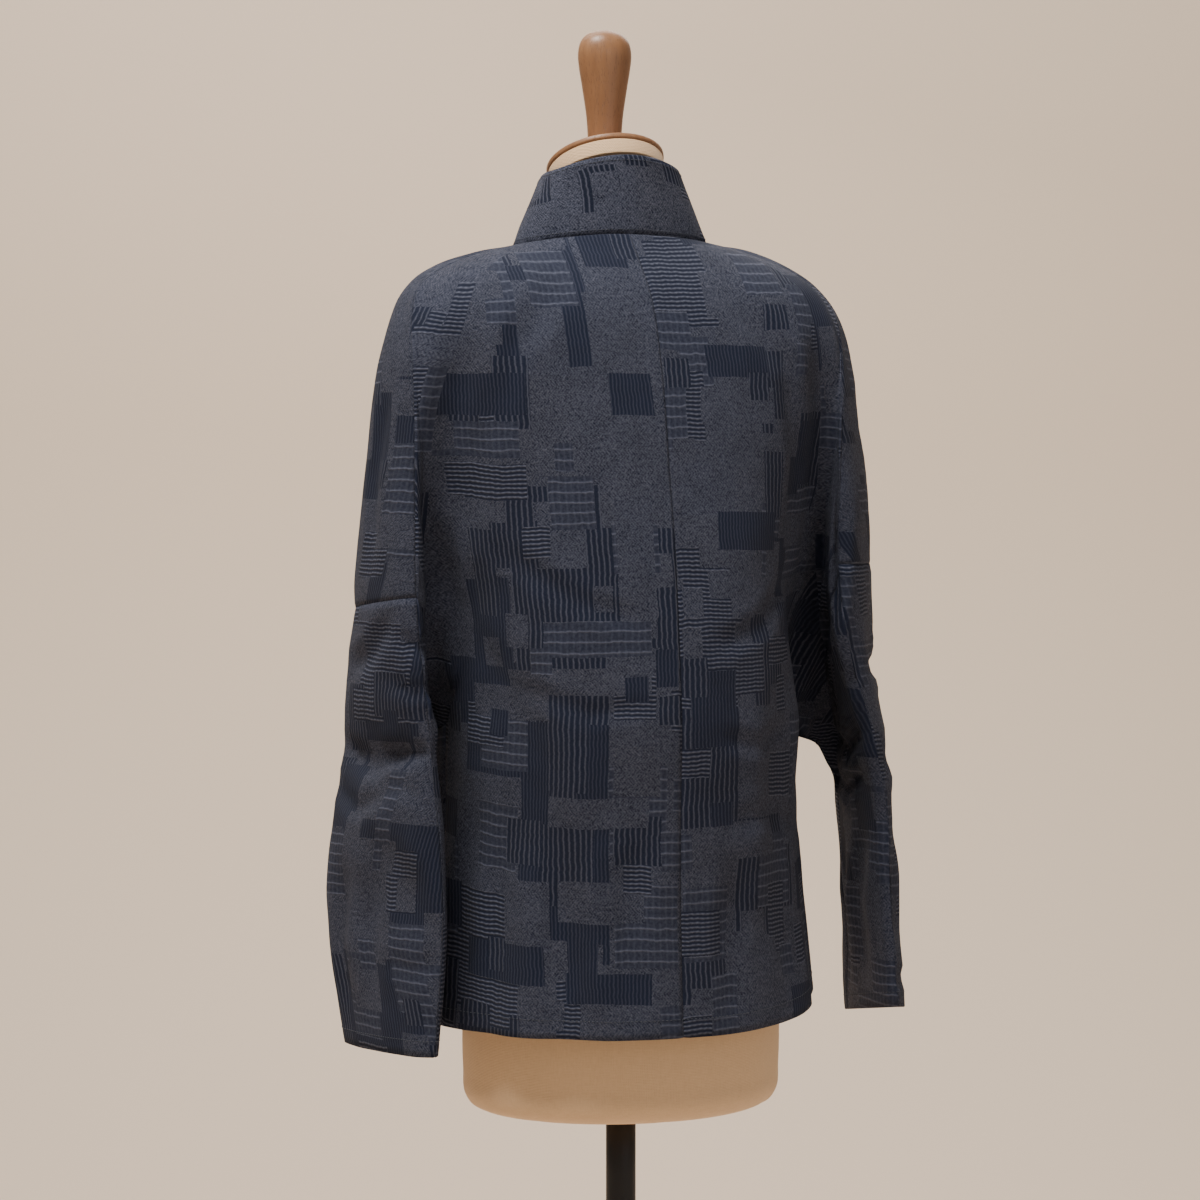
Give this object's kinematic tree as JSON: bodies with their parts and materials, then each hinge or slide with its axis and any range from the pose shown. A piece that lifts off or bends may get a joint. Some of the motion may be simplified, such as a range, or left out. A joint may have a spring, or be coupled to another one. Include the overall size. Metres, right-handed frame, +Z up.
{
  "type": "hanfu-style top on dress form",
  "caption": "Wrap-front jacket with a crossed band collar, long dolman sleeves, side slits and side ties, worn on a limbless dress form with a wood handle, on a round stand.",
  "frame": {"origin": "middle of the stand's underside, on the floor", "axes": "+Z up, -Y to the wearer's front, +X to the wearer's left"},
  "size_m": [0.4722, 0.4, 1.5908],
  "materials": {
    "cloth": "woven patchwork of navy ribs and grey melange",
    "collar": "fine navy rib",
    "cover": "plain cream linen",
    "wood": "satin",
    "metal": "satin dark grey"
  },
  "bodies": {
    "root": {"back_left": "cloth", "back_right": "cloth", "front_left": "cloth", "front_right": "cloth", "sleeve_back_left": "cloth", "sleeve_front_left": "cloth", "sleeve_back_right": "cloth", "sleeve_front_right": "cloth", "collar": "collar", "tie_knot": "collar", "tie_tail_front": "collar", "tie_tail_back": "collar", "stand": "metal", "form_torso": "cover", "neck_cap": "cover", "neck_disc": "wood", "handle": "wood"}
  },
  "joints": []
}
